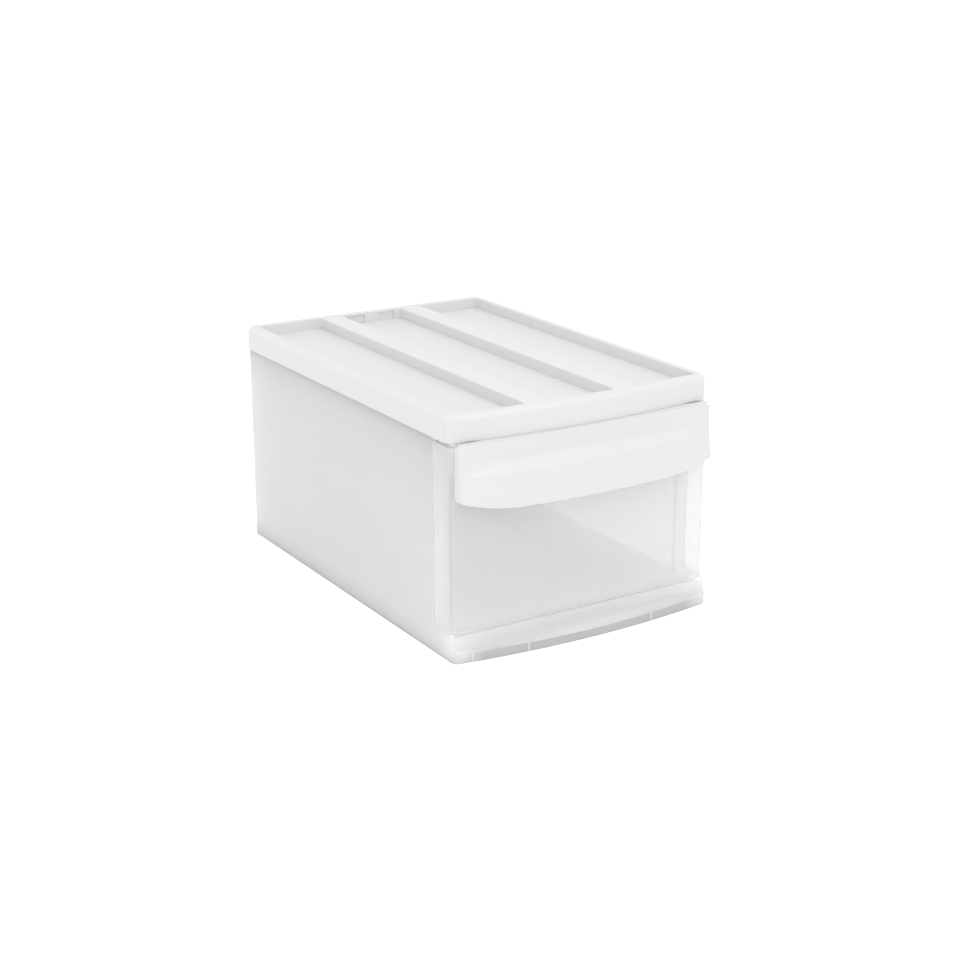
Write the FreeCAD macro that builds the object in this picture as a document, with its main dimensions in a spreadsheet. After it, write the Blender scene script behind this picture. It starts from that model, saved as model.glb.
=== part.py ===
import FreeCAD, Part
import math
import os
import Sketcher

# Stackable drawer box: a frosted casing with a snapped-on cover, and a clear drawer with a handle.
# Millimetres. The origin is on the ground under the middle of the whole box, the drawer opens
# towards -Y, and +Z is up.

# Driving dimensions. A height is counted from the ground, a drop down from the seam under the
# cover, a reach forward from the drawer's face, a setback backward from it, and an inset inward
# from the casing's side. A share is a part of a half width.
dimensions = {
    "overall_width": 255,
    "overall_depth": 395,
    "overall_height": 203,
    # Casing
    "cover_overhang": 0.7,
    "casing_wall": 2.5,
    "casing_back_round": 9,
    "casing_front_round": 4.5,
    "floor_height": 18.5,
    "floor_thickness": 2.5,
    "opening_setback": 26,
    "opening_round": 7,
    "sill_height": 23.4,
    "flange_width": 8.3,
    "flange_thickness": 2,
    "spigot_height": 4,
    "spigot_wall": 0.9,
    # Bowed lip in front of the drawer
    "lip_reach": 16.5,
    "lip_end_reach": 6,
    "lip_edge_height": 7.5,
    "lip_hollow": 2.4,
    "cheek_height": 12.6,
    "cheek_hollow": 1.4,
    "lip_wall": 2.2,
    # Ribs under the floor
    "rib_thickness": 2,
    "inner_rib_share": 0.481,
    "outer_rib_inset": 18.3,
    # Stop lugs on the floor
    "lug_inset": 23.3,
    "lug_width": 14,
    "lug_setback": 26,
    "lug_side": 3.7,
    "lug_bow": 6.4,
    "lug_height": 2.2,
    # Cover
    "cover_height": 21.5,
    "cover_wall": 2,
    "cover_corner_round": 9,
    "cover_shoulder": 5,
    "cover_end_setback": 2.5,
    "cover_front_reach": 6.5,
    "bay_depth": 10,
    "rim_width": 9.5,
    "rim_back_width": 11,
    "rim_front_width": 11,
    "bay_front_bow": 4.6,
    "bay_corner_round": 3,
    "ridge_inner_share": 0.251,
    "ridge_outer_share": 0.4196,
    "top_edge_round": 0.8,
    "rim_thickness": 3,
    "notch_depth": 1.2,
    "notch_top_gap": 2.3,
    "notch_inner_share": 0.22,
    "notch_outer_share": 0.78,
    # Drawer
    "tray_wall": 2,
    "tray_bottom_height": 21.4,
    "tray_rear_inset": 11.8,
    "tray_rear_gap": 11.8,
    "tray_front_round": 3,
    "tray_rear_round": 8,
    "opening_gap": 0.5,
    "sill_gap": 0.3,
    "foot_slope_width": 8,
    "runner_width": 2,
    "inner_runner_share": 0.481,
    "stop_rib_thickness": 2,
    "stop_rib_width": 18,
    "stop_rib_gap": 0.4,
    "stop_rear_gap": 46.6,
    # Handle
    "handle_reach": 25,
    "handle_end_reach": 14,
    "handle_drop": 53.5,
    "crease_recess": 0.6,
    "crease_end_reach": 9,
    "crease_drop": 25.5,
    "band_reach": 10.5,
    "band_end_reach": 8.3,
    "band_drop": 14.5,
    "handle_cover_gap": 0.4,
    "handle_side_gap": 4,
    "handle_plan_round": 3,
    "handle_top_round": 5,
    "apron_corner_share": 0.43,
    "apron_corner_rise": 8,
    "apron_corner_bow": 2,
    "handle_wall": 2.2,
    "backing_drop": 33.5,
    "clip_thickness": 2,
    "clip_depth": 9,
    "clip_end_gap": 6,
    # One overrun for every cut
    "overrun": 10,
}

QUARTER_BULGE_SHARE = 1 - math.sqrt(0.5)
SLOPE_STEPS = 5
touching = 1e-6

doc = FreeCAD.newDocument("drawer_box")
sheet = doc.addObject("Spreadsheet::Sheet", "Sizes")
for row, (alias, number) in enumerate(dimensions.items(), 1):
    sheet.set(f"A{row}", alias)
    sheet.set(f"B{row}", str(number))
    sheet.setAlias(f"B{row}", alias)
doc.recompute()


class Size:
    # A size with its value and the sheet expression that gives it.
    def __init__(self, value, text):
        self.value = float(value)
        self.text = text

    def combine(self, other, sign, value):
        return Size(value, f"({self.text} {sign} {other.text})")

    def __add__(self, other):
        other = as_size(other)
        return self.combine(other, "+", self.value + other.value)

    def __sub__(self, other):
        other = as_size(other)
        return self.combine(other, "-", self.value - other.value)

    def __mul__(self, other):
        other = as_size(other)
        return self.combine(other, "*", self.value * other.value)

    def __truediv__(self, other):
        other = as_size(other)
        return self.combine(other, "/", self.value / other.value)

    def __neg__(self):
        return Size(-self.value, f"(-{self.text})")

    def root(self):
        return Size(math.sqrt(self.value), f"sqrt({self.text})")


def as_size(number):
    return number if isinstance(number, Size) else Size(number, repr(float(number)))


def size(alias):
    return Size(sheet.get(alias), f"Sizes.{alias}")


ground = as_size(0)
middle = as_size(0)
back = size("overall_depth") / 2
face = size("handle_reach") - size("overall_depth") / 2
top = size("overall_height")
seam = top - size("cover_height")
overrun = size("overrun")
casing_half = size("overall_width") / 2 - size("cover_overhang")
casing_inner_half = casing_half - size("casing_wall")
casing_back = back - size("cover_overhang")
opening = face + size("opening_setback")


# Sketches: a loop is a list of points run counter-clockwise. A third entry makes the side that
# starts there an arc, by how far its middle stands out to the right of the straight line.

def origin_plane(body, role):
    return next(plane for plane in body.Origin.OriginFeatures if plane.Role == role)


def curve_between(start, end, bulge):
    if bulge is None:
        return Part.LineSegment(start, end)
    along = end - start
    outward = FreeCAD.Vector(along.y, -along.x, 0).normalize()
    return Part.Arc(start, (start + end) * 0.5 + outward * bulge.value, end)


def arc_radius(start, end, bulge):
    across = end[0] - start[0]
    up = end[1] - start[1]
    half_squared = (across * across + up * up) / 4
    return (half_squared + bulge * bulge) / (bulge * 2)


def hold(sketch, kind, curve, vertex, distance):
    if distance.value == 0:
        axis = -2 if kind == "DistanceX" else -1
        sketch.addConstraint(Sketcher.Constraint("PointOnObject", curve, vertex, axis))
        return
    number = sketch.addConstraint(Sketcher.Constraint(kind, -1, 1, curve, vertex, distance.value))
    sketch.setExpression(f"Constraints[{number}]", distance.text)


def add_loop(sketch, points):
    spots = [FreeCAD.Vector(point[0].value, point[1].value, 0) for point in points]
    after = spots[1:] + spots[:1]
    bulges = [point[2] if len(point) > 2 else None for point in points]
    curves = [sketch.addGeometry(curve_between(*ends), False) for ends in zip(spots, after, bulges)]
    starts = []
    for curve, spot in zip(curves, spots):
        begin = sketch.getPoint(curve, 1)
        starts.append(1 if begin.distanceToPoint(spot) < touching else 2)
    for i, curve in enumerate(curves):
        before = curves[i - 1]
        end = 3 - starts[i - 1]
        sketch.addConstraint(Sketcher.Constraint("Coincident", before, end, curve, starts[i]))
        hold(sketch, "DistanceX", curve, starts[i], points[i][0])
        hold(sketch, "DistanceY", curve, starts[i], points[i][1])
    for i, curve in enumerate(curves):
        if bulges[i] is None:
            continue
        following = points[(i + 1) % len(points)]
        bulge = bulges[i] if bulges[i].value > 0 else -bulges[i]
        radius = arc_radius(points[i], following, bulge)
        number = sketch.addConstraint(Sketcher.Constraint("Radius", curve, radius.value))
        sketch.setExpression(f"Constraints[{number}]", radius.text)


def draw(body, name, role, level, *loops):
    sketch = body.newObject("Sketcher::SketchObject", name)
    sketch.AttachmentSupport = (origin_plane(body, role), [""])
    sketch.MapMode = "FlatFace"
    sketch.AttachmentOffset = FreeCAD.Placement(FreeCAD.Vector(0, 0, level.value), FreeCAD.Rotation())
    sketch.setExpression("AttachmentOffset.Base.z", level.text)
    for loop in loops:
        add_loop(sketch, loop)
    return sketch


def box_corners(left, right, front, rear, radius=None):
    return [(x, y, radius) for x, y in ((left, front), (right, front), (right, rear), (left, rear))]


def unit(start, end):
    step = [end[axis].value - start[axis].value for axis in (0, 1)]
    longest = max(abs(part) for part in step)
    return [round(part / longest) for part in step]


def rounded(corners):
    # Rounds the corners of a loop whose sides run along the axes.
    points = []
    for i, (x, y, radius) in enumerate(corners):
        if radius is None:
            points.append((x, y))
            continue
        arriving = unit(corners[i - 1], corners[i])
        leaving = unit(corners[i], corners[(i + 1) % len(corners)])
        turn = arriving[0] * leaving[1] - arriving[1] * leaving[0]
        bulge = radius * (QUARTER_BULGE_SHARE * turn)
        points.append((x - radius * arriving[0], y - radius * arriving[1], bulge))
        points.append((x + radius * leaving[0], y + radius * leaving[1]))
    return points


def even_box(half, front, rear, radius=None):
    return rounded(box_corners(-half, half, front, rear, radius))


def bow_at(across, half, bow):
    # How far a bow over the whole width stands out at a place across it.
    radius = (half * half + bow * bow) / (bow * 2)
    return (radius * radius - across * across).root() - radius + bow


def bowed_box(half, end, bow, rear, corner=None):
    # A box whose front is an arc. The front reaches back to end at both sides.
    if corner is None:
        return [(-half, end, bow), (half, end), (half, rear), (-half, rear)]
    flat = half - corner
    flat_bow = bow_at(flat, half, bow)
    bulge = corner * QUARTER_BULGE_SHARE
    return [
        (-half, end + corner, bulge),
        (-flat, end - flat_bow, bow - flat_bow),
        (flat, end - flat_bow, bulge),
        (half, end + corner),
        (half, rear - corner, bulge),
        (flat, rear),
        (-flat, rear, bulge),
        (-half, rear - corner),
    ]


# Features: each is checked for what it adds or takes away.

def pad(body, name, sketch, length, side="One side", up=True):
    before = body.Tip.Shape.Volume if body.Tip else 0
    feature = body.newObject("PartDesign::Pad", name)
    feature.Profile = sketch
    feature.SideType = side
    feature.Reversed = not up
    feature.setExpression("Length", length.text)
    return finish_feature(feature, before, True)


def pocket(body, name, sketch, depth, side="One side", up=False):
    before = body.Tip.Shape.Volume
    feature = body.newObject("PartDesign::Pocket", name)
    feature.Profile = sketch
    feature.SideType = side
    feature.Reversed = up
    feature.setExpression("Length", depth.text)
    return finish_feature(feature, before, False)


def loft(body, name, kind, sections, grows):
    before = body.Tip.Shape.Volume if body.Tip else 0
    feature = body.newObject(f"PartDesign::{kind}", name)
    feature.Profile = sections[0]
    feature.Sections = sections[1:]
    feature.Ruled = True
    return finish_feature(feature, before, grows)


def finish_feature(feature, before, grows):
    doc.recompute()
    after = feature.Shape.Volume
    if "Invalid" in feature.State or "Error" in feature.State or (after > before) != grows:
        raise RuntimeError(f"{feature.Name}: {feature.State}, volume {before:.0f} to {after:.0f}")
    return feature


def edge_names(feature, wanted):
    return [f"Edge{i}" for i, edge in enumerate(feature.Shape.Edges, 1) if wanted(edge)]


def soften(body, name, feature, wanted, radius):
    blend = body.newObject("PartDesign::Fillet", name)
    blend.Base = (feature, edge_names(feature, wanted))
    blend.setExpression("Radius", radius.text)
    doc.recompute()
    if "Invalid" in blend.State or "Error" in blend.State:
        raise RuntimeError(f"{name}: {blend.State}")
    return blend


def upright(edge):
    box = edge.BoundBox
    return box.ZLength > touching and box.XLength < touching and box.YLength < touching


def new_body(label):
    body = doc.addObject("PartDesign::Body", label.title().replace("_", ""))
    body.Label = label
    return body


def casing():
    body = new_body("casing")
    half = casing_half
    inner_half = casing_inner_half
    wall_top = seam + size("spigot_height")
    lip_end = face - size("lip_end_reach")
    lip_front = face - size("lip_reach")
    lip_bow = size("lip_reach") - size("lip_end_reach")
    floor = size("floor_height")

    # Block with the bowed lip in its plan, and its four upright corners rounded.
    plan = draw(body, "CasingPlan", "XY_Plane", ground, bowed_box(half, lip_end, lip_bow, casing_back))
    block = pad(body, "CasingBlock", plan, wall_top)
    front_corners = soften(
        body, "FrontCorners", block,
        lambda edge: upright(edge) and edge.CenterOfMass.y < face.value, size("casing_front_round"))
    soften(
        body, "BackCorners", front_corners,
        lambda edge: upright(edge) and edge.CenterOfMass.y > back.value / 2, size("casing_back_round"))

    # Side view: the walls end behind the drawer's face, over a sill that falls to the lip's ends.
    bend = size("opening_round")
    sill = size("sill_height")
    cheek = size("cheek_height")
    ahead = lip_front - overrun
    above = wall_top + overrun
    side_view = [
        (ahead, cheek),
        (lip_end, cheek, size("cheek_hollow")),
        (face, sill),
        (opening - bend, sill, bend * QUARTER_BULGE_SHARE),
        (opening, sill + bend),
        (opening, above),
        (ahead, above),
    ]
    side = draw(body, "OpeningSide", "YZ_Plane", middle, side_view)
    pocket(body, "Opening", side, size("overall_width") + overrun, side="Symmetric")

    # The cover's skirt sits on a shoulder around a thin spigot.
    spigot_half = inner_half + size("spigot_wall")
    spigot_back = casing_back - size("casing_wall") + size("spigot_wall")
    inner_round = size("casing_back_round") - size("casing_wall")
    spigot_round = inner_round + size("spigot_wall")
    seat = draw(
        body, "SeatRing", "XY_Plane", wall_top,
        even_box(half + overrun, ahead, casing_back + overrun),
        even_box(spigot_half, lip_front, spigot_back, spigot_round))
    pocket(body, "CoverSeat", seat, size("spigot_height"))

    # Inside: the room behind the flanges, the doorway between them, and the drawer front's bed.
    room_depth = wall_top - floor
    behind_flange = opening + size("flange_thickness")
    inner_back = casing_back - size("casing_wall")
    room_box = even_box(inner_half, behind_flange, inner_back, inner_round)
    room = draw(body, "RoomPlan", "XY_Plane", wall_top, room_box)
    pocket(body, "Room", room, room_depth)
    doorway_half = inner_half - size("flange_width")
    doorway = draw(
        body, "DoorwayPlan", "XY_Plane", wall_top,
        even_box(doorway_half, opening - size("flange_thickness"), behind_flange + size("flange_thickness")))
    pocket(body, "Doorway", doorway, room_depth)
    bed = draw(body, "BedPlan", "XY_Plane", wall_top, even_box(inner_half, face, opening))
    pocket(body, "Bed", bed, room_depth)

    # Between the walls the lip's top falls from the floor to its edge in one hollow curve.
    edge_height = size("lip_edge_height")
    lip_view = [
        (ahead, edge_height),
        (lip_front, edge_height, size("lip_hollow")),
        (face, floor),
        (face, above),
        (ahead, above),
    ]
    lip_top = draw(body, "LipSide", "YZ_Plane", middle, lip_view)
    pocket(body, "LipTop", lip_top, inner_half * 2, side="Symmetric")

    # Hollow underneath, with ribs from front to back that stand on the ground.
    hollow_top = floor - size("floor_thickness")
    hollow = draw(body, "HollowPlan", "XY_Plane", ground, even_box(inner_half, face, inner_back, inner_round))
    pocket(body, "Hollow", hollow, hollow_top, up=True)
    lip_wall = size("lip_wall")
    lip_hollow = draw(
        body, "LipHollowPlan", "XY_Plane", ground,
        bowed_box(inner_half - lip_wall, lip_end + lip_wall, lip_bow, face + lip_wall))
    pocket(body, "LipHollow", lip_hollow, edge_height - lip_wall, up=True)
    rib_half = size("rib_thickness") / 2
    floor_ribs = []
    lip_ribs = []
    for rib_place in (half - size("outer_rib_inset"), half * size("inner_rib_share")):
        for place in (-rib_place, rib_place):
            left = place - rib_half
            right = place + rib_half
            rib_front = lip_end - bow_at(place, half, lip_bow) + lip_wall / 2
            rib_back = inner_back + size("casing_wall") / 2
            floor_ribs.append(rounded(box_corners(left, right, face, rib_back)))
            lip_ribs.append(rounded(box_corners(left, right, rib_front, face + lip_wall)))
    floor_rib_plan = draw(body, "FloorRibPlan", "XY_Plane", ground, *floor_ribs)
    pad(body, "FloorRibs", floor_rib_plan, hollow_top + size("floor_thickness") / 2)
    lip_rib_plan = draw(body, "LipRibPlan", "XY_Plane", ground, *lip_ribs)
    pad(body, "LipRibs", lip_rib_plan, edge_height - lip_wall / 2)

    # Stop lugs: flat in front, round behind.
    lug_half = size("lug_width") / 2
    lug_front = face + size("lug_setback")
    lug_side = lug_front + size("lug_side")
    lug_place = half - size("lug_inset")
    lugs = []
    for place in (-lug_place, lug_place):
        lugs.append([
            (place - lug_half, lug_front),
            (place + lug_half, lug_front),
            (place + lug_half, lug_side, size("lug_bow")),
            (place - lug_half, lug_side),
        ])
    lug_plan = draw(body, "LugPlan", "XY_Plane", floor - size("floor_thickness") / 2, *lugs)
    pad(body, "StopLugs", lug_plan, size("lug_height") + size("floor_thickness") / 2)
    return body


def top_cover():
    body = new_body("top_cover")
    half = size("overall_width") / 2
    end = face + size("cover_end_setback")
    front = face - size("cover_front_reach")
    bow = size("cover_end_setback") + size("cover_front_reach")
    wall = size("cover_wall")
    bay_floor = top - size("bay_depth")

    plan = draw(body, "CoverPlan", "XY_Plane", seam, bowed_box(half, end, bow, back))
    block = pad(body, "CoverBlock", plan, size("cover_height"))
    corners = soften(body, "CoverCorners", block, upright, size("cover_corner_round"))
    soften(
        body, "CoverShoulder", corners,
        lambda edge: edge.BoundBox.ZMin > top.value - touching, size("cover_shoulder"))

    # One recess with a bowed front and a rounded back, crossed by two ridges flush with the rim.
    recess_half = half - size("rim_width")
    recess_bow = size("bay_front_bow")
    recess_end = front + size("rim_front_width") + recess_bow
    recess_back = back - size("rim_back_width")
    recess_plan = bowed_box(recess_half, recess_end, recess_bow, recess_back)
    recess = draw(body, "RecessPlan", "XY_Plane", top, recess_plan)
    pocket(body, "Recess", recess, size("bay_depth"))
    ridge_front = front + size("rim_front_width") - wall
    ridge_back = recess_back + wall
    ridge_in = half * size("ridge_inner_share")
    ridge_out = half * size("ridge_outer_share")
    ridge_plan = draw(
        body, "RidgePlan", "XY_Plane", bay_floor - wall / 2,
        rounded(box_corners(-ridge_out, -ridge_in, ridge_front, ridge_back)),
        rounded(box_corners(ridge_in, ridge_out, ridge_front, ridge_back)))
    ridges = pad(body, "Ridges", ridge_plan, size("bay_depth") + wall / 2)

    def bay_corner(edge):
        inside = abs(edge.CenterOfMass.x) < recess_half.value + touching
        deep = edge.BoundBox.ZMin > bay_floor.value - touching
        return upright(edge) and inside and deep
    bay_corners = soften(body, "BayCorners", ridges, bay_corner, size("bay_corner_round"))

    def bay_rim(edge):
        box = edge.BoundBox
        inside = max(abs(box.XMin), abs(box.XMax)) < recess_half.value + touching
        within = box.YMax < recess_back.value + touching and box.YMin > front.value
        return box.ZMin > top.value - touching and inside and within
    soften(body, "BayRims", bay_corners, bay_rim, size("top_edge_round"))

    # Two notches in the middle bay's rear wall, with a tab left between them.
    notch_top = top - size("notch_top_gap")
    notch_in = ridge_in * size("notch_inner_share")
    notch_out = ridge_in * size("notch_outer_share")
    notch_view = draw(
        body, "NotchView", "XZ_Plane", -(recess_back - size("notch_depth")),
        rounded(box_corners(-notch_out, -notch_in, bay_floor, notch_top)),
        rounded(box_corners(notch_in, notch_out, bay_floor, notch_top)))
    pocket(body, "Notches", notch_view, size("notch_depth") * 2)

    # Underneath: a thin shell, with channels inside the rim and the ridges.
    skirt_half = half - wall
    skirt_back = back - wall
    inner_round = size("cover_corner_round") - wall
    shell = draw(
        body, "ShellPlan", "XY_Plane", seam,
        bowed_box(skirt_half, end + wall, bow, skirt_back, inner_round))
    pocket(body, "Shell", shell, bay_floor - wall - seam, up=True)
    channel_depth = size("bay_depth") - size("rim_thickness") + wall
    channel = draw(
        body, "ChannelPlan", "XY_Plane", bay_floor - wall,
        bowed_box(skirt_half, end + wall, bow, skirt_back, inner_round),
        bowed_box(recess_half + wall, recess_end - wall, recess_bow, recess_back + wall, inner_round))
    pocket(body, "RimChannel", channel, channel_depth, up=True)
    ridge_hollows = []
    for left, right in ((-ridge_out, -ridge_in), (ridge_in, ridge_out)):
        ridge_hollows.append(rounded(box_corners(
            left + wall, right - wall, recess_end + wall * 2, recess_back - wall * 2)))
    ridge_hollow = draw(body, "RidgeHollowPlan", "XY_Plane", bay_floor - wall, *ridge_hollows)
    pocket(body, "RidgeHollows", ridge_hollow, channel_depth, up=True)
    return body


def drawer_tray():
    body = new_body("drawer_tray")
    wall = size("tray_wall")
    half = casing_half
    rear_half = half - size("tray_rear_inset")
    step = opening - size("opening_gap")
    rear = casing_back - size("casing_wall") - size("tray_rear_gap")
    bottom = size("tray_bottom_height")
    tray_top = seam - size("handle_cover_gap") - size("clip_thickness")
    front_round = size("tray_front_round")
    rear_round = size("tray_rear_round")

    # A wide front section and a narrower box behind it, in one plan.
    outside = [
        (-half, face, front_round),
        (half, face, front_round),
        (half, step, None),
        (rear_half, step, None),
        (rear_half, rear, rear_round),
        (-rear_half, rear, rear_round),
        (-rear_half, step, None),
        (-half, step, None),
    ]
    plan = draw(body, "TrayPlan", "XY_Plane", bottom, rounded(outside))
    pad(body, "TrayBlock", plan, tray_top - bottom)
    inside_box = even_box(rear_half - wall, face + wall, rear - wall, rear_round - wall)
    inside = draw(body, "TrayInsidePlan", "XY_Plane", tray_top, inside_box)
    pocket(body, "TrayInside", inside, tray_top - bottom - wall)

    # The front section's foot slopes up at both ends to clear the casing's sills, and its lower
    # rear corners are round, as the casing's opening is.
    foot = size("sill_height") + size("sill_gap")
    outer_bend = size("opening_round") - size("opening_gap")
    inner_bend = outer_bend - wall
    above = tray_top + overrun
    wing_view = [
        (face + wall, foot + wall),
        (step - wall - inner_bend, foot + wall, inner_bend * QUARTER_BULGE_SHARE),
        (step - wall, foot + wall + inner_bend),
        (step - wall, above),
        (face + wall, above),
    ]
    wings = draw(body, "WingSide", "YZ_Plane", middle, wing_view)
    pocket(body, "Wings", wings, (half - wall) * 2, side="Symmetric")
    foot_out = casing_inner_half - size("sill_gap")
    foot_in = foot_out - size("foot_slope_width")
    below = bottom - overrun
    beside = half + overrun
    left_foot = [(-beside, below), (-foot_in, below), (-foot_in, bottom), (-foot_out, foot), (-beside, foot)]
    right_foot = [(foot_in, below), (beside, below), (beside, foot), (foot_out, foot), (foot_in, bottom)]
    feet = draw(body, "FootView", "XZ_Plane", -opening, left_foot, right_foot)
    pocket(body, "FootSlopes", feet, size("opening_setback") + overrun, up=True)
    bend_view = [
        (step - outer_bend, foot),
        (step - outer_bend, below),
        (opening, below),
        (opening, foot + outer_bend),
        (step, foot + outer_bend, -outer_bend * QUARTER_BULGE_SHARE),
    ]
    left_bend = draw(body, "LeftBendSide", "YZ_Plane", -foot_out, bend_view)
    pocket(body, "LeftBend", left_bend, beside - foot_out)
    right_bend = draw(body, "RightBendSide", "YZ_Plane", foot_out, bend_view)
    pocket(body, "RightBend", right_bend, beside - foot_out, up=True)

    # Runners that slide on the casing's floor, and stop ribs that meet its lugs when the drawer is
    # pulled out.
    floor = size("floor_height")
    runner_front = opening + size("flange_thickness")
    runner_rear = rear - rear_round
    runner_half = size("runner_width") / 2
    runners = []
    for runner_place in (rear_half - runner_half, half * size("inner_runner_share")):
        for place in (-runner_place, runner_place):
            left = place - runner_half
            right = place + runner_half
            runners.append(rounded(box_corners(left, right, runner_front, runner_rear)))
    runner_plan = draw(body, "RunnerPlan", "XY_Plane", floor, *runners)
    pad(body, "Runners", runner_plan, bottom + wall / 2 - floor)
    stop_rear = rear - size("stop_rear_gap")
    stop_front = stop_rear - size("stop_rib_thickness")
    stop_out = rear_half - runner_half
    stop_in = stop_out - size("stop_rib_width")
    stop_plan = draw(
        body, "StopPlan", "XY_Plane", floor + size("stop_rib_gap"),
        rounded(box_corners(-stop_out, -stop_in, stop_front, stop_rear)),
        rounded(box_corners(stop_in, stop_out, stop_front, stop_rear)))
    pad(body, "StopRibs", stop_plan, bottom + wall / 2 - floor - size("stop_rib_gap"))
    return body


def handle_section(half, reach, end_reach, rear, corner):
    # Plan of the handle at one height: straight back, round corners, bowed front.
    end = face - end_reach
    flat = half - corner
    return [
        (-half, rear),
        (-half, end + corner, corner * QUARTER_BULGE_SHARE),
        (-flat, end, reach - end_reach),
        (flat, end, corner * QUARTER_BULGE_SHARE),
        (half, end + corner),
        (half, rear),
    ]


def drawer_handle():
    body = new_body("drawer_handle")
    half = casing_half - size("handle_side_gap")
    wall = size("handle_wall")
    corner = size("handle_plan_round")
    handle_top = seam - size("handle_cover_gap")
    band = seam - size("band_drop")
    crease = seam - size("crease_drop")
    bottom = seam - size("handle_drop")
    crease_reach = size("handle_reach") - size("crease_recess")

    # Heights with their reach in the middle and at the ends. The slope is a parabola that starts
    # upright under the band and is flattest at the crease.
    foot = (bottom, size("handle_reach"), size("handle_end_reach"))
    slope = []
    for step in range(SLOPE_STEPS + 1):
        rise_share = step / SLOPE_STEPS
        out_share = (1 - rise_share) ** 2
        slope.append((
            crease + (band - crease) * rise_share,
            size("band_reach") + (crease_reach - size("band_reach")) * out_share,
            size("band_end_reach") + (size("crease_end_reach") - size("band_end_reach")) * out_share))

    def section(name, level, inset, rear):
        height, reach, end_reach = level
        loop = handle_section(half - inset, reach - inset, end_reach - inset, rear, corner - inset)
        return draw(body, name, "XY_Plane", height, loop)

    def sections(prefix, levels, inset, rear):
        return [section(f"{prefix}{i}", level, inset, rear) for i, level in enumerate(levels)]

    # Outside: the apron, the slope above its crease, and an upright band.
    loft(body, "Apron", "AdditiveLoft", sections("ApronPlan", [foot, slope[0]], ground, face), True)
    loft(body, "Slope", "AdditiveLoft", sections("SlopePlan", slope, ground, face), True)
    pad(body, "Band", section("BandPlan", slope[-1], ground, face), handle_top - band)

    # Inside: the same forms a wall further in, open at the foot, with a backing on the drawer's face.
    rear = face - wall
    apron_inside = sections("ApronInsidePlan", [foot, slope[0]], wall, rear)
    loft(body, "ApronInside", "SubtractiveLoft", apron_inside, False)
    loft(body, "SlopeInside", "SubtractiveLoft", sections("SlopeInsidePlan", slope, wall, rear), False)
    band_inside = section("BandInsidePlan", slope[-1], wall, rear)
    pocket(body, "BandInside", band_inside, handle_top - wall - band, up=True)
    backing = seam - size("backing_drop")
    finger_view = [
        (face - wall * 2, bottom - overrun),
        (face + overrun, bottom - overrun),
        (face + overrun, backing),
        (face - wall * 2, backing),
    ]
    finger = draw(body, "FingerSide", "YZ_Plane", middle, finger_view)
    pocket(body, "FingerGap", finger, (half - wall) * 2, side="Symmetric")

    # In the front view the upper corners are round and the apron's foot rises to both ends.
    beside = half + overrun
    above = handle_top + overrun
    below = bottom - overrun
    high = size("handle_top_round")
    high_bulge = high * QUARTER_BULGE_SHARE
    run = half * size("apron_corner_share")
    rise = size("apron_corner_rise")
    low_bow = size("apron_corner_bow")
    corner_loops = [
        [(half, handle_top - high), (beside, handle_top - high), (beside, above), (half - high, above),
         (half - high, handle_top, -high_bulge)],
        [(-half, handle_top - high, -high_bulge), (-(half - high), handle_top), (-(half - high), above),
         (-beside, above), (-beside, handle_top - high)],
        [(half - run, bottom, low_bow), (half, bottom + rise), (beside, bottom + rise), (beside, below),
         (half - run, below)],
        [(-half, bottom + rise, low_bow), (-(half - run), bottom), (-(half - run), below),
         (-beside, below), (-beside, bottom + rise)],
    ]
    corners = draw(body, "CornerView", "XZ_Plane", -face - overrun, *corner_loops)
    pocket(body, "Corners", corners, size("handle_reach") + overrun * 2, up=True)

    # A clip over the top edge of the drawer's front panel.
    panel_back = face + size("tray_wall")
    clip_back = panel_back + size("clip_thickness")
    under = handle_top - size("clip_thickness")
    clip_view = [
        (face - wall, under),
        (panel_back, under),
        (panel_back, handle_top - size("clip_depth")),
        (clip_back, handle_top - size("clip_depth")),
        (clip_back, handle_top),
        (face - wall, handle_top),
    ]
    clip = draw(body, "ClipSide", "YZ_Plane", middle, clip_view)
    pad(body, "Clip", clip, (half - size("clip_end_gap")) * 2, side="Symmetric")
    return body


bodies = [casing(), top_cover(), drawer_tray(), drawer_handle()]
doc.recompute()

for item in doc.Objects:
    if "Invalid" in item.State or "Error" in item.State:
        raise RuntimeError(f"{item.Name} is {item.State}")
for body in bodies:
    if body.Shape.isNull() or not body.Shape.isValid() or len(body.Shape.Solids) != 1:
        raise RuntimeError(f"{body.Label} has no single valid solid")

os.makedirs("parts", exist_ok=True)
for body in bodies:
    box = body.Shape.BoundBox
    lengths = f"{box.XLength:.1f} x {box.YLength:.1f} x {box.ZLength:.1f} mm"
    print(f"{body.Label}: {lengths}, {body.Shape.Volume:.0f} mm3")
    body.Shape.exportStep(f"parts/{body.Label}.step")
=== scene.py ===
import math

import bmesh
import bpy
import numpy as np
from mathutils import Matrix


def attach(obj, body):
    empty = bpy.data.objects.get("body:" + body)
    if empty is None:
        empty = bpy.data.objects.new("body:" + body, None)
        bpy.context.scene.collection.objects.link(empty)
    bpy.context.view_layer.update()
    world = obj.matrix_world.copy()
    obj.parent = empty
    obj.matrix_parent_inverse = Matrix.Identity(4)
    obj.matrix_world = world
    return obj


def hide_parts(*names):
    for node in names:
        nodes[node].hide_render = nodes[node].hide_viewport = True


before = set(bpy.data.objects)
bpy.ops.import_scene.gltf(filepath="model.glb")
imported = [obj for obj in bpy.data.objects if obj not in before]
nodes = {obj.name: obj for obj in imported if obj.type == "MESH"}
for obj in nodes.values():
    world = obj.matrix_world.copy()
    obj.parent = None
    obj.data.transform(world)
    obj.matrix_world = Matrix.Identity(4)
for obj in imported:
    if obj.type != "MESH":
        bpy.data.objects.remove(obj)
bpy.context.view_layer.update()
print("frame loaded:", ", ".join(sorted(nodes)))

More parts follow.
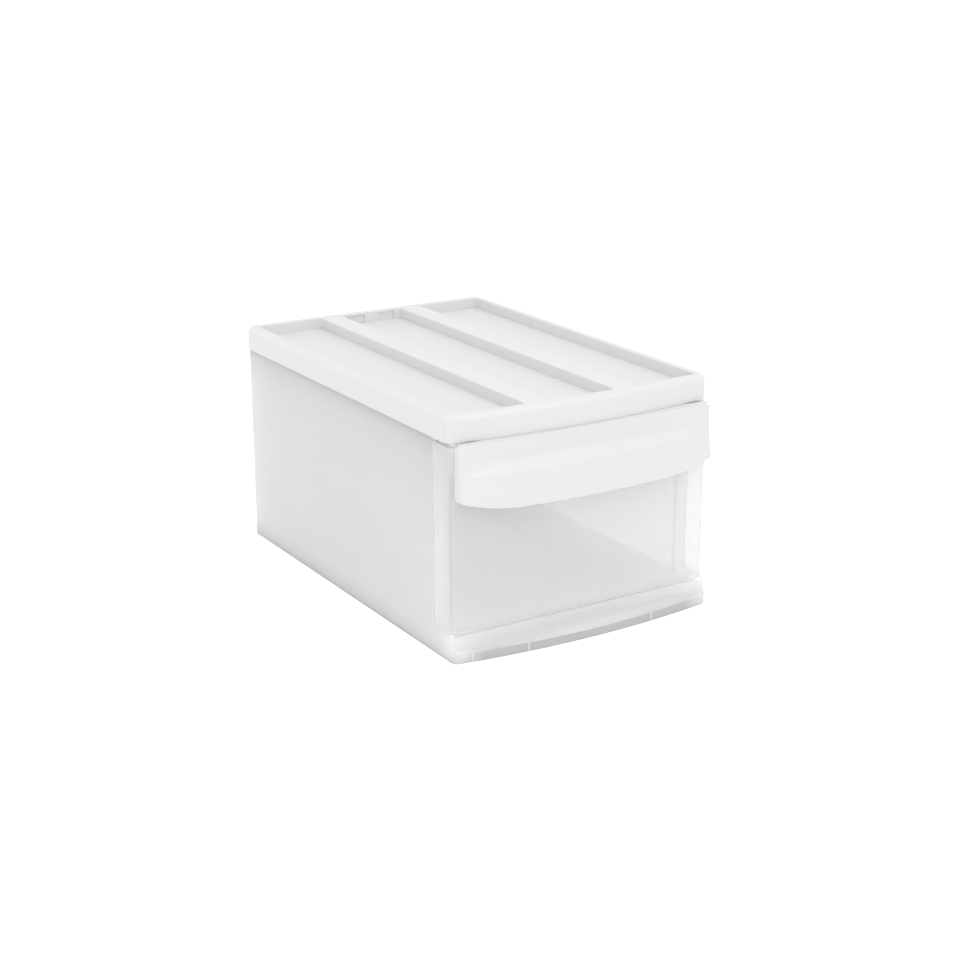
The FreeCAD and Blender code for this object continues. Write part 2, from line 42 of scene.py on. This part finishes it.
edgeSamples = 6       # how many rays look for an edge near a point
mergeDistance = 5e-6  # points nearer than this become one, in metres


class Wire:
    # A socket that takes part in arithmetic. Each operation adds its Math node.
    def __init__(self, finish, socket):
        self.finish = finish
        self.socket = socket

    def worked(self, operation, first, second=None, clamp=False):
        values = {i: v for i, v in enumerate((first, second)) if v is not None}
        settings = {"operation": operation, "use_clamp": clamp}
        return self.finish.node("ShaderNodeMath", settings, values)

    def __add__(self, other):
        return self.worked("ADD", self, other)

    def __radd__(self, other):
        return self.worked("ADD", other, self)

    def __sub__(self, other):
        return self.worked("SUBTRACT", self, other)

    def __rsub__(self, other):
        return self.worked("SUBTRACT", other, self)

    def __mul__(self, other):
        return self.worked("MULTIPLY", self, other)

    def __rmul__(self, other):
        return self.worked("MULTIPLY", other, self)

    def __truediv__(self, other):
        return self.worked("DIVIDE", self, other)

    def __pow__(self, other):
        return self.worked("POWER", self, other)

    def __abs__(self):
        return self.worked("ABSOLUTE", self)

    def clamped(self):
        # Held between 0 and 1.
        return self.worked("ADD", self, 0.0, clamp=True)

    def over(self, other):
        # The larger of the two.
        return self.worked("MAXIMUM", self, other)


class Finish:
    # A node tree being filled: a material's or the world's.
    def __init__(self, tree):
        self.tree = tree
        tree.nodes.clear()

    def node(self, kind, settings=None, values=None, output=0):
        # Adds a node. Its settings come first, because they decide which sockets it has.
        made = self.tree.nodes.new(kind)
        for name, value in (settings or {}).items():
            setattr(made, name, value)
        for name, value in (values or {}).items():
            socket = made.inputs[name]
            if isinstance(value, Wire):
                self.tree.links.new(value.socket, socket)
            else:
                socket.default_value = value
        return Wire(self, made.outputs[output]) if len(made.outputs) else made

    def noise(self, place, size, detail=2.0):
        values = {"Vector": place, "Scale": 1 / size, "Detail": detail}
        return self.node("ShaderNodeTexNoise", {}, values)

    def part(self, vector, axis):
        # One coordinate of a vector.
        return self.node("ShaderNodeSeparateXYZ", {}, {0: vector}, axis)

    def blend(self, share, first, second):
        # Sockets 6 and 7 of a Mix node take its two colours, and its third output is the result.
        return self.node("ShaderNodeMix", {"data_type": "RGBA"}, {0: share, 6: first, 7: second}, 2)

    def mixed(self, share, first, second):
        return self.node("ShaderNodeMixShader", {}, {0: share, 1: first, 2: second})

    def rounded(self, edgeRound):
        # The normal that the surface would have with its edges rounded.
        return self.node("ShaderNodeBevel", {"samples": edgeSamples}, {"Radius": edgeRound})

    def edges(self, rounded, gain):
        # 1 along the edges and 0 on the flats: where the rounded normal leaves the flat one.
        flat = self.node("ShaderNodeNewGeometry", output="Normal")
        product = {"operation": "DOT_PRODUCT"}
        along = self.node("ShaderNodeVectorMath", product, {0: rounded, 1: flat}, "Value")
        return ((1 - along) * gain).clamped()

    def relief(self, grain, look, rounded=None):
        # The plastic's fine grain, over the rounded normal where one is given.
        values = {"Strength": look["grainStrength"], "Distance": look["grainHeight"], "Height": grain}
        if rounded is not None:
            values["Normal"] = rounded
        return self.node("ShaderNodeBump", {}, values)


def grey(level):
    return (level, level, level, 1)


def newFinish(name):
    material = bpy.data.materials.new(name)
    material.use_nodes = True
    return material, Finish(material.node_tree)


def dress(piece, material):
    piece.data.materials.clear()
    piece.data.materials.append(material)


whitePlastic = {
    "colour": (0.778, 0.778, 0.773, 1),
    "shade": (0.763, 0.763, 0.758, 1),
    "glow": (0.9, 0.9, 0.89, 1),      # the light that comes through the wall
    "glowShare": 0.05,
    "roughness": 0.38,
    "roughnessSpread": 0.08,
    "ior": 1.49,
    "cloudSize": 0.07,                # lengths are in metres
    "cloudDetail": 3.0,
    "grainSize": 0.0009,
    "grainHeight": 0.000012,
    "grainStrength": 0.4,
    "edgeRound": 0.0007,
}


def mouldedPlastic(name, look):
    # Opaque plastic with a fine grain and soft clouds. A little light comes through its wall.
    material, finish = newFinish(name)
    place = finish.node("ShaderNodeTexCoord", output="Object")
    cloud = finish.noise(place, look["cloudSize"], look["cloudDetail"])
    grain = finish.noise(place, look["grainSize"])
    rounded = finish.rounded(look["edgeRound"])
    surface = finish.node("ShaderNodeBsdfPrincipled", {}, {
        "Base Color": finish.blend(cloud, look["colour"], look["shade"]),
        "Roughness": look["roughness"] + (cloud - 0.5) * look["roughnessSpread"],
        "Normal": finish.relief(grain, look, rounded),
        "IOR": look["ior"],
    })
    through = finish.node("ShaderNodeBsdfTranslucent", {}, {"Color": look["glow"]})
    whole = finish.mixed(look["glowShare"], surface, through)
    finish.node("ShaderNodeOutputMaterial", {}, {"Surface": whole})
    return material


frostedPlastic = {
    "colour": (0.98, 0.98, 0.975, 1),
    "shade": (0.96, 0.96, 0.955, 1),
    "glow": (0.998, 0.998, 0.998, 1),
    "glowShare": 0.85,
    "roughness": 0.55,
    "roughnessSpread": 0.1,
    "ior": 1.49,
    "cloudSize": 0.11,
    "cloudDetail": 4.0,
    "grainSize": 0.0006,
    "grainDetail": 3.0,
    "grainHeight": 0.00002,
    "grainStrength": 0.5,
    "edgeRound": 0.0006,
    "edgeGain": 6.0,
    # painted shade on the lip's low front faces: its colour, and how much of it is laid on
    "paintedFootShade": (0.45, 0.45, 0.445, 1),
    "paintedFootShadeShare": 0.9,
    "footTop": 0.0125,                      # height at which the painted shade on the lip's front ends
    "footFade": 0.005,
    "footHalf": 0.136,                      # half its width, and the run over which it fades
    "footRun": 0.035,
    "frontFrom": 0.6,                       # how far a face turns forward before it is front
    "frontGain": 4.0,
    "ribPlaces": (-0.111, -0.061, 0.0625),  # painted pale lines where ribs meet the lip, left to right along it
    "ribHalf": 0.0009,
    "ribPaintedLight": 0.7,
}


def frostedFinish(name, look):
    # The lip's front is painted darker: painted shade for the dark hollow under the floor, from which
    # less light comes through it, fading near the ends, where the side walls let light in. Along the
    # lip's edge and where ribs meet its front from behind, that shade is left out: painted light in
    # thin pale lines.
    material, finish = newFinish(name)
    place = finish.node("ShaderNodeTexCoord", output="Object")
    cloud = finish.noise(place, look["cloudSize"], look["cloudDetail"])
    grain = finish.noise(place, look["grainSize"], look["grainDetail"])
    facing = finish.node("ShaderNodeNewGeometry", output="True Normal")
    front = ((-look["frontFrom"] - finish.part(facing, "Y")) * look["frontGain"]).clamped()
    low = ((look["footTop"] - finish.part(place, "Z")) / look["footFade"]).clamped()
    across = finish.part(place, "X")
    inside = ((look["footHalf"] - abs(across)) / look["footRun"]).clamped()
    rounded = finish.rounded(look["edgeRound"])
    # painted light: thin pale lines along the lip's edges and where ribs meet its front, where the
    # painted shade is left out
    paintedLightLines = finish.edges(rounded, look["edgeGain"])
    for rib in look["ribPlaces"]:
        line = (1 - abs(across - rib) / look["ribHalf"]).clamped()
        paintedLightLines = paintedLightLines.over(line * look["ribPaintedLight"])
    # painted shade: the lip's low, forward-facing front is painted darker, less towards its ends and
    # not on the painted pale lines
    foot = low * front * inside * (1 - paintedLightLines) * look["paintedFootShadeShare"]
    body = finish.blend(cloud, look["colour"], look["shade"])
    surface = finish.node("ShaderNodeBsdfPrincipled", {}, {
        "Base Color": finish.blend(foot, body, look["paintedFootShade"]),
        "Roughness": look["roughness"] + (grain - 0.5) * look["roughnessSpread"],
        "Normal": finish.relief(grain, look, rounded),
        "IOR": look["ior"],
    })
    through = finish.node("ShaderNodeBsdfTranslucent", {}, {"Color": look["glow"]})
    # where the painted shade lies, the light through the wall is cut as well, so it stays dark
    whole = finish.mixed(look["glowShare"] * (1 - foot), surface, through)
    finish.node("ShaderNodeOutputMaterial", {}, {"Surface": whole})
    return material


clearPlastic = {
    "colour": (0.91, 0.91, 0.905, 1),
    "glow": (0.97, 0.97, 0.965, 1),
    "glowShare": 0.2,
    "cover": 0.36,                    # how much of the view the flat wall takes
    # painted shade along the edges and steep sides, for the light that the wall's edges bend away
    "paintedRimShade": (0.2, 0.2, 0.2, 1),
    "rimCover": 0.4,                  # and how much more its edges and steep sides take
    "rimPower": 9,
    "rimBlend": 0.5,
    "roughness": 0.2,
    "roughnessSpread": 0.04,
    "ior": 1.49,
    "grainSize": 0.0012,
    "grainHeight": 0.000008,
    "grainStrength": 0.3,
    "edgeRound": 0.0011,
    "edgeGain": 12.0,
}


def clearFinish(name, look):
    # A thin milky skin over a clear wall. Along edges and where the wall is seen at a low angle it
    # takes more of the view, and it is painted darker there: painted shade for the light that the
    # wall's edges bend away.
    material, finish = newFinish(name)
    place = finish.node("ShaderNodeTexCoord", output="Object")
    grain = finish.noise(place, look["grainSize"])
    facing = finish.node("ShaderNodeLayerWeight", {}, {"Blend": look["rimBlend"]}, "Facing")
    edges = finish.edges(finish.rounded(look["edgeRound"]), look["edgeGain"])
    # the rim mask both thickens the skin and lays painted shade on it
    rim = (facing ** look["rimPower"]).over(edges)
    cover = (look["cover"] + rim * look["rimCover"]).clamped()
    surface = finish.node("ShaderNodeBsdfPrincipled", {}, {
        "Base Color": finish.blend(rim, look["colour"], look["paintedRimShade"]),
        "Roughness": look["roughness"] + (grain - 0.5) * look["roughnessSpread"],
        "Normal": finish.relief(grain, look),
        "IOR": look["ior"],
    })
    through = finish.node("ShaderNodeBsdfTranslucent", {}, {"Color": look["glow"]})
    milky = finish.mixed(look["glowShare"], surface, through)
    clear = finish.node("ShaderNodeBsdfTransparent", {}, {"Color": grey(1)})
    finish.node("ShaderNodeOutputMaterial", {}, {"Surface": finish.mixed(cover, clear, milky)})
    return material


handleForm = {
    "half": 0.1228,                   # half its width
    "face": -0.1725,                  # the drawer's face, which the reaches start from
    "top": 0.18145,                   # heights: its top, the band's foot, the crease, its foot
    "band": 0.167,
    "crease": 0.156,
    "foot": 0.128,
    "bandReach": (0.0105, 0.0083),    # reaches: in the middle and at the ends
    "creaseReach": (0.0244, 0.009),
    "footReach": (0.025, 0.014),
    "planRound": 0.003,
    "insetRound": 0.6,                # how much of the wall the inner corners' radius loses
    "topRound": 0.005,
    "cornerShare": 0.43,              # the share of each half over which the foot rises
    "cornerRise": 0.008,
    "wall": 0.0022,
    "backing": 0.148,                 # height at which the plate behind the hood starts
    "clipDepth": 0.009,
    "clipThickness": 0.002,
    "clipEndGap": 0.0035,
    "panel": 0.002,                   # thickness of the drawer's front under the clip
    "edgeRound": 0.0006,
    "edgeSegments": 3,
    "edgeAngle": 38,
    "sharpAngle": 35,
    "frontPoints": 121,
    "cornerPoints": 5,
    "sidePoints": 5,
    "apronRows": 12,
    "slopeRows": 16,
    "bandRows": 8,
    "topRows": 4,
}


def reachAt(heights, across, form):
    # How far the hood's front stands out: in height a level band, then a parabola that leaves it
    # upright and is flattest at the crease, then a straight apron. Across it, each height is a
    # parabola between its reach in the middle and its reach at the ends.
    slopeShare = np.clip((form["band"] - heights) / (form["band"] - form["crease"]), 0, 1) ** 2
    apronShare = np.clip((form["crease"] - heights) / (form["crease"] - form["foot"]), 0, None)
    middle, end = (
        form["bandReach"][i]
        + (form["creaseReach"][i] - form["bandReach"][i]) * slopeShare
        + (form["footReach"][i] - form["creaseReach"][i]) * apronShare
        for i in (0, 1))
    return middle - (middle - end) * (across / form["half"]) ** 2


def footAt(across, form):
    # The apron's lower edge: level in the middle, and a circle's arc that rises to both ends.
    run = form["half"] * form["cornerShare"]
    radius = (run ** 2 + form["cornerRise"] ** 2) / (2 * form["cornerRise"])
    past = np.clip(np.abs(across) - (form["half"] - run), 0, run)
    return form["foot"] + radius - np.sqrt(radius ** 2 - past ** 2)


def rowsBetween(low, high, shares):
    # Straight in each column from the low height to the high one, a row for each share.
    return low + (high - low) * shares[:, None]


def hoodSheet(inset, form):
    # One skin of the hood, as a grid of points. Each row runs round the plan: from the drawer's
    # face forward along the left end, round its corner, over the bowed front, and back along the
    # right end. The rows climb from the foot to the top edge, where the upper corners are round,
    # and then run back over the top to the drawer's face. The inner skin is inset by the wall.
    half = form["half"] - inset
    top = form["top"] - inset
    cornerRound = form["planRound"] - inset * form["insetRound"]
    turn = np.linspace(0, np.pi / 2, form["cornerPoints"] + 2)[1:-1]
    side = np.full(form["sidePoints"], half)
    corner = -half + cornerRound * (1 - np.cos(turn))
    front = (half - cornerRound) * np.linspace(-1, 1, form["frontPoints"])
    across = np.concatenate([-side, corner, front, -corner[::-1], side])
    # The corners and ends stand back from the front by the corner's round.
    endCut = np.full(side.size, cornerRound)
    cornerCut = cornerRound * (1 - np.sin(turn))
    cut = np.concatenate([endCut, cornerCut, np.zeros(front.size), cornerCut[::-1], endCut])
    # Each column's share of the reach: 1 on the front and corners, less along the ends.
    sideShare = np.linspace(0, 1, side.size + 1)[:-1]
    share = np.concatenate([sideShare, np.ones(front.size + 2 * turn.size), sideShare[::-1]])
    low = footAt(across, form)
    crease, band, edge = (np.full(across.size, z) for z in (form["crease"], form["band"], top))
    heights = np.vstack([
        rowsBetween(low, crease, np.linspace(0, 1, form["apronRows"] + 1)),
        rowsBetween(crease, band, np.linspace(0, 1, form["slopeRows"] + 1)[1:]),
        rowsBetween(band, edge, np.linspace(0, 1, form["bandRows"] + 1)[1:])])
    reach = (reachAt(heights, across, form) - inset - cut) * share
    # The upper corners: near the top the ends move inward on a circle's arc.
    rise = np.clip(heights - (top - form["topRound"]), 0, form["topRound"])
    pull = form["topRound"] - np.sqrt(form["topRound"] ** 2 - rise ** 2)
    xs = across * (1 - pull / half)
    over = np.linspace(1, 0, form["topRows"] + 1)[1:]
    xs = np.vstack([xs, np.repeat(xs[-1:], over.size, axis=0)])
    heights = np.vstack([heights, np.repeat(heights[-1:], over.size, axis=0)])
    reach = np.vstack([reach, reach[-1] * over[:, None]])
    return np.stack([xs, form["face"] - reach, heights], axis=-1)


def gridFaces(rows, columns, first):
    # A grid's points are numbered row by row, and each face joins four that are neighbours.
    corner = first + np.arange(rows * columns).reshape(rows, columns)
    quads = np.stack([corner[:-1, :-1], corner[:-1, 1:], corner[1:, 1:], corner[1:, :-1]], axis=-1)
    return corner, quads.reshape(-1, 4)


def stripFaces(one, other):
    # The faces between two lines with as many points each.
    return np.stack([one[:-1], one[1:], other[1:], other[:-1]], axis=-1)


def carriedProfile(profile, half, first):
    # A profile of back-to-front and height, carried straight across and closed at both ends.
    count = len(profile)
    places = np.vstack([np.column_stack([np.full(count, x), profile]) for x in (-half, half)])
    one = first + np.arange(count)
    sides = np.stack([one, np.roll(one, -1), np.roll(one, -1) + count, one + count], axis=-1)
    return places, sides.tolist() + [one.tolist(), (one + count).tolist()]


def finishedPiece(name, mesh, node, body, sharpAngle):
    # Merges what lies on one spot, turns the faces outward, and shades smoothly up to an angle.
    shape = bmesh.new()
    shape.from_mesh(mesh)
    bmesh.ops.remove_doubles(shape, verts=shape.verts, dist=mergeDistance)
    bmesh.ops.recalc_face_normals(shape, faces=shape.faces)
    for edge in shape.edges:
        edge.smooth = edge.calc_face_angle(0.0) < math.radians(sharpAngle)
    for side in shape.faces:
        side.smooth = True
    made = bpy.data.meshes.new(name)
    shape.to_mesh(made)
    shape.free()
    # Normals that come with a mesh would hide the smooth and sharp edges set here.
    if "custom_normal" in made.attributes:
        made.attributes.remove(made.attributes["custom_normal"])
    piece = bpy.data.objects.new(name, made)
    bpy.context.scene.collection.objects.link(piece)
    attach(piece, body)
    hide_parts(node)
    print(name, "made")
    return piece


def makeHandle():
    # The hood's two skins and the strips that close them, a backing plate over the drawer's
    # face, and a clip that hooks over the top of the drawer's front.
    form = handleForm
    outer = hoodSheet(0, form)
    inner = hoodSheet(form["wall"], form)
    rows, columns = outer.shape[:2]
    outerAt, outerFaces = gridFaces(rows, columns, 0)
    innerAt, innerFaces = gridFaces(rows, columns, rows * columns)
    hood = [
        outerFaces, innerFaces[:, ::-1],
        stripFaces(innerAt[0], outerAt[0]), stripFaces(outerAt[-1], innerAt[-1]),
        stripFaces(outerAt[:, 0], innerAt[:, 0]), stripFaces(innerAt[:, -1], outerAt[:, -1])]
    face, wall, top = form["face"], form["wall"], form["top"]
    backing = [
        (face - wall, form["backing"]), (face, form["backing"]),
        (face, top - wall / 2), (face - wall, top - wall / 2)]
    panelBack = face + form["panel"]
    clipBack = panelBack + form["clipThickness"]
    under = top - form["clipThickness"]
    clipFoot = top - form["clipDepth"]
    clip = [
        (face - wall / 2, under), (panelBack, under), (panelBack, clipFoot),
        (clipBack, clipFoot), (clipBack, top), (face - wall / 2, top)]
    count = 2 * rows * columns
    backingPlaces, backingFaces = carriedProfile(backing, form["half"] - wall / 2, count)
    count += len(backingPlaces)
    clipPlaces, clipFaces = carriedProfile(clip, form["half"] - form["clipEndGap"], count)
    places = np.vstack([outer.reshape(-1, 3), inner.reshape(-1, 3), backingPlaces, clipPlaces])
    faces = np.vstack(hood).tolist() + backingFaces + clipFaces
    mesh = bpy.data.meshes.new("hoodGrid")
    mesh.from_pydata(places.tolist(), [], faces)
    handle = finishedPiece(
        "whiteHandle", mesh, "drawer_handle", "drawer", form["sharpAngle"])
    bpy.data.meshes.remove(mesh)
    bevel = handle.modifiers.new("edges", "BEVEL")
    bevel.width = form["edgeRound"]
    bevel.segments = form["edgeSegments"]
    bevel.limit_method = "ANGLE"
    bevel.angle_limit = math.radians(form["edgeAngle"])
    bevel.harden_normals = True
    return handle


mouldings = {
    "whiteCover": {"node": "top_cover", "body": "case", "slot": "white_plastic"},
    "frostedCasing": {"node": "casing", "body": "case", "slot": "frosted_plastic"},
    "clearTray": {"node": "drawer_tray", "body": "drawer", "slot": "clear_plastic"},
}
mouldingSharpAngle = 32


def makeMoulding(name):
    # A copy of the CAD node with its triangles joined, so that its rounds shade smoothly.
    form = mouldings[name]
    mesh = nodes[form["node"]].data
    piece = finishedPiece(name, mesh, form["node"], form["body"], mouldingSharpAngle)
    flats = piece.modifiers.new("flats", "WEIGHTED_NORMAL")
    flats.keep_sharp = True
    return piece


dress(makeHandle(), mouldedPlastic("whiteHandlePlastic", whitePlastic))
dress(makeMoulding("whiteCover"), mouldedPlastic("whiteCoverPlastic", whitePlastic))
dress(makeMoulding("frostedCasing"), frostedFinish("frostedPlastic", frostedPlastic))
dress(makeMoulding("clearTray"), clearFinish("clearPlastic", clearPlastic))
print("pieces dressed")


studio = {
    "floorHalf": 30.0,
    "floorColour": 0.92,
    "floorGlow": 0.4,
    "roomLight": 0.87,
    "aimHeight": 0.1,    # where the lamps look, over the middle of the floor
    "bounces": 32,       # light crosses many frosted and clear walls before it leaves the box
}


def whiteRays(finish):
    # 1 for rays that see the studio itself: straight, in a reflection or through a clear wall.
    # Scattered light isn't sight, also not where it scatters through a frosted wall.
    camera, glossy, clear, scattered = (
        finish.node("ShaderNodeLightPath", output=f"Is {kind} Ray")
        for kind in ("Camera", "Glossy", "Transmission", "Diffuse"))
    return camera.over(glossy).over(clear) * (1 - scattered)


def makeFloor():
    # So wide that its edge is never in view.
    half = studio["floorHalf"]
    corners = np.array([(-1, -1), (1, -1), (1, 1), (-1, 1)]) * half
    mesh = bpy.data.meshes.new("floor")
    mesh.from_pydata([(x, y, 0) for x, y in corners], [], [(0, 1, 2, 3)])
    floor = bpy.data.objects.new("floor", mesh)
    bpy.context.scene.collection.objects.link(floor)
    material, finish = newFinish("paleFloor")
    matt = finish.node("ShaderNodeBsdfDiffuse", {}, {"Color": grey(studio["floorColour"])})
    glow = finish.node("ShaderNodeEmission", {}, {
        "Color": grey(1), "Strength": whiteRays(finish) * studio["floorGlow"]})
    both = finish.node("ShaderNodeAddShader", {}, {0: matt, 1: glow})
    finish.node("ShaderNodeOutputMaterial", {}, {"Surface": both})
    dress(floor, material)


def makeWorld():
    # White where it is seen, and the room's light for everything else.
    world = bpy.data.worlds.new("studio")
    bpy.context.scene.world = world
    world.use_nodes = True
    finish = Finish(world.node_tree)
    seen = whiteRays(finish)
    strength = seen + (1 - seen) * studio["roomLight"]
    sky = finish.node("ShaderNodeBackground", {}, {"Color": grey(1), "Strength": strength})
    finish.node("ShaderNodeOutputWorld", {}, {"Surface": sky})


softLamps = {
    "frontLamp": {"place": (0.2, -1.9, 1.9), "size": 1.8, "power": 14.5},
    "topLamp": {"place": (0.1, -0.1, 2.4), "size": 1.8, "power": 6},
    "rightLamp": {"place": (2.4, 0.9, 0.4), "size": 1.6, "power": 10},
    "leftLamp": {"place": (-2.4, -0.6, 0.5), "size": 1.6, "power": 8},
    "backLamp": {"place": (-0.6, 2.6, 0.4), "size": 1.6, "power": 8},
}


def makeLamps():
    # Each lamp is turned towards the box.
    for name, lamp in softLamps.items():
        data = bpy.data.lights.new(name, "AREA")
        data.shape = "SQUARE"
        data.size = lamp["size"]
        data.energy = lamp["power"]
        light = bpy.data.objects.new(name, data)
        bpy.context.scene.collection.objects.link(light)
        x, y, z = lamp["place"]
        tilt = math.atan2(math.hypot(x, y), z - studio["aimHeight"])
        light.location = lamp["place"]
        light.rotation_euler = (tilt, 0, math.atan2(x, -y))


photoCamera = {
    "place": (-0.80893, -1.31805, 0.58619),
    "yaw": 31.781,    # degrees to the right of straight on
    "pitch": 17.98,   # degrees down
    "lens": 67.94,
    "sensor": 36,
}


def makeCamera():
    data = bpy.data.cameras.new("photoCamera")
    data.sensor_width = photoCamera["sensor"]
    data.lens = photoCamera["lens"]
    camera = bpy.data.objects.new("photoCamera", data)
    bpy.context.scene.collection.objects.link(camera)
    camera.location = photoCamera["place"]
    camera.rotation_euler = (
        math.radians(90 - photoCamera["pitch"]), 0, math.radians(-photoCamera["yaw"]))
    bpy.context.scene.camera = camera


makeFloor()
makeWorld()
makeLamps()
makeCamera()
scene = bpy.context.scene
scene.view_settings.view_transform = "Standard"
scene.cycles.max_bounces = studio["bounces"]
scene.cycles.diffuse_bounces = studio["bounces"]
scene.cycles.transmission_bounces = studio["bounces"]
scene.cycles.transparent_max_bounces = studio["bounces"]
print("studio ready")
